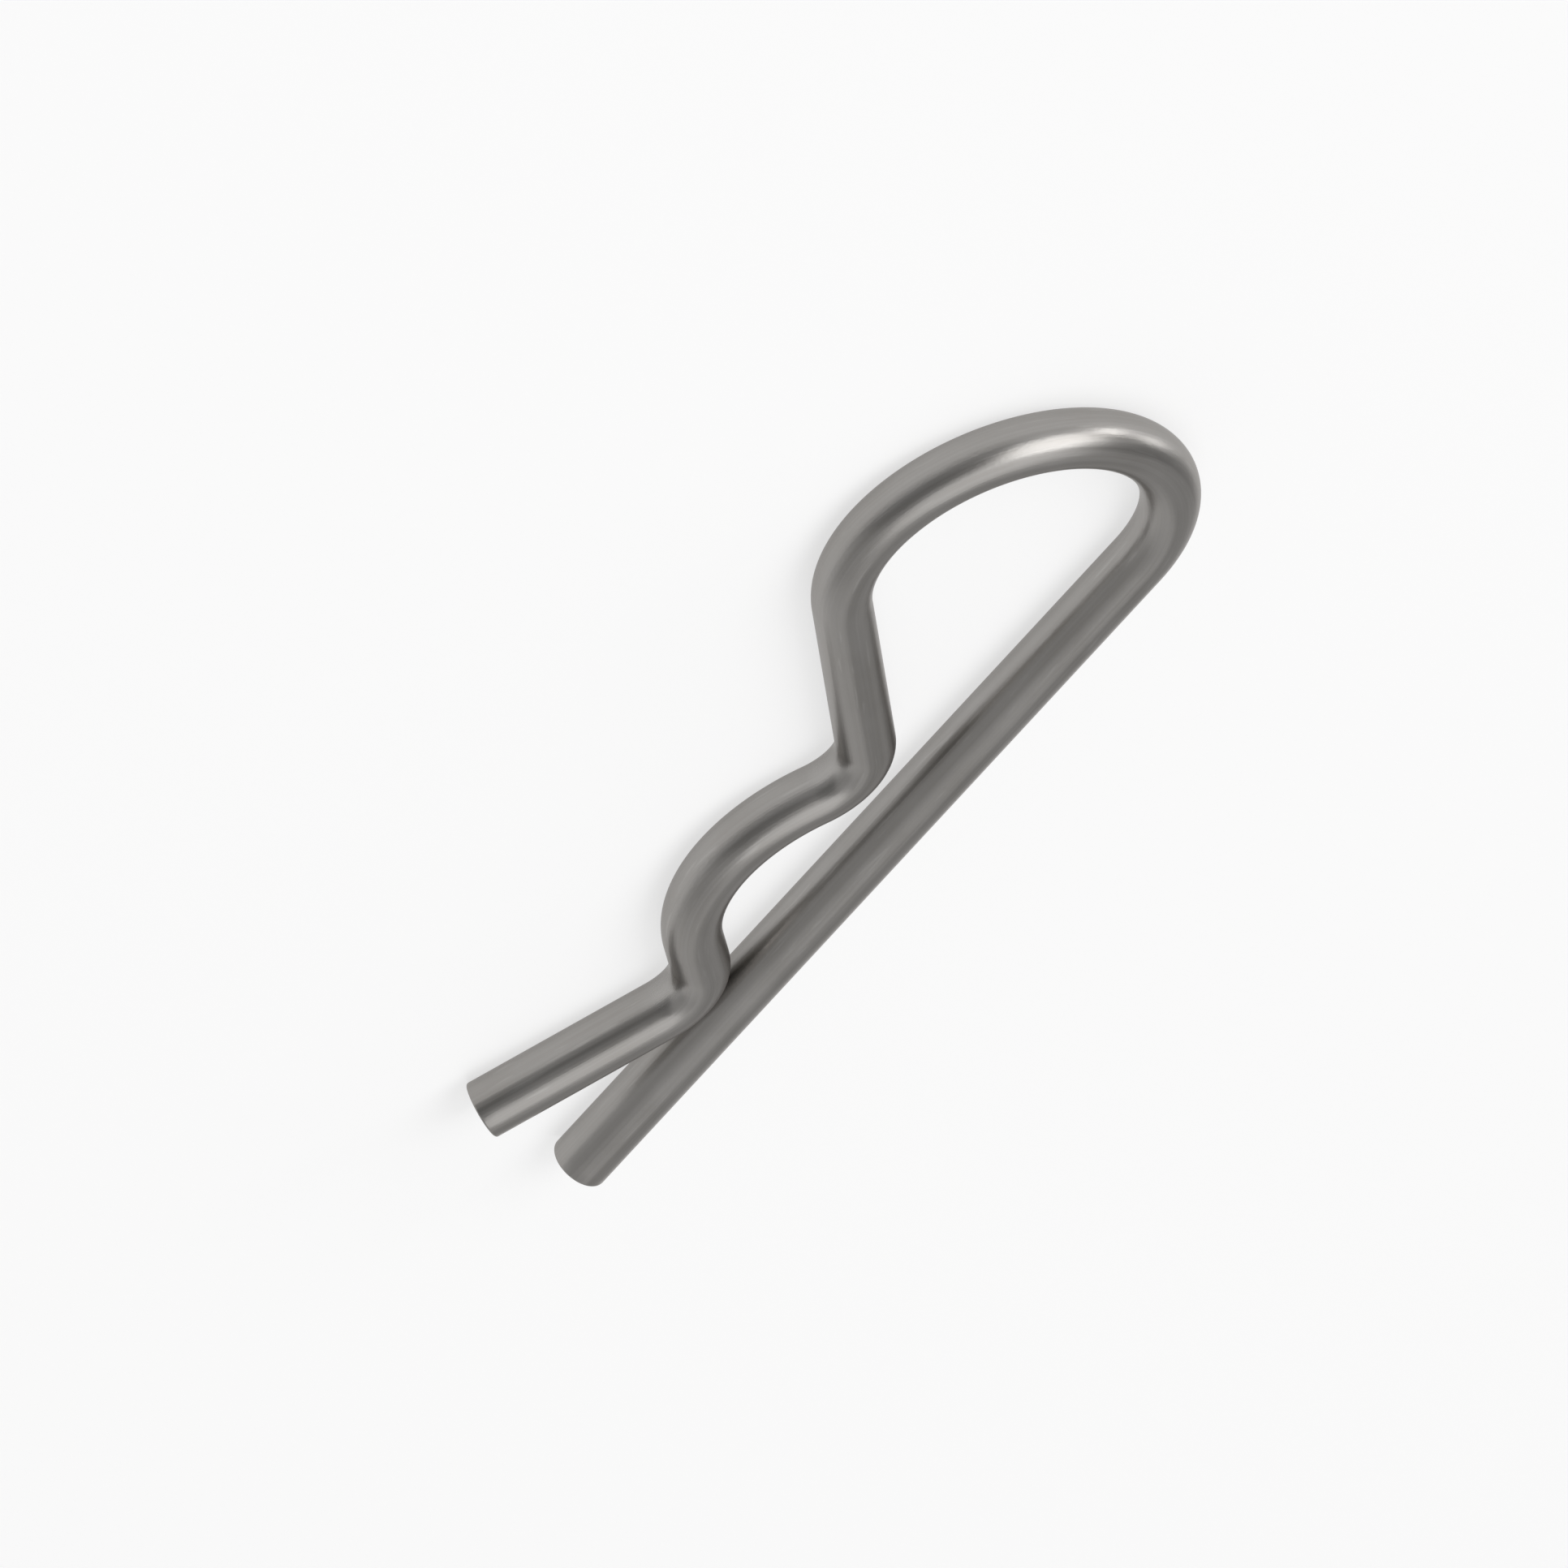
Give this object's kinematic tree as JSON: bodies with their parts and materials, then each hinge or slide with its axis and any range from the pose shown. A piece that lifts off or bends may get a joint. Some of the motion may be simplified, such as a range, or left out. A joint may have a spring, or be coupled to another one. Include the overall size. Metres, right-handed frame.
{
  "type": "r-clip hitch pin",
  "caption": "Spring clip bent from one round steel wire: a straight leg, a round bow and a wavy leg whose rounded seat snaps over a shaft, with a flared end.",
  "frame": {"origin": "under the middle of the clip, on the surface it lies on", "axes": "+X along the straight leg towards the bow, +Y from the straight leg towards the bent leg, +Z square to the clip's plane"},
  "size_m": [0.078, 0.0268, 0.004],
  "materials": {
    "spring_steel": "satin drawn wire"
  },
  "bodies": {
    "root": {"r_clip": "spring_steel"}
  },
  "joints": []
}
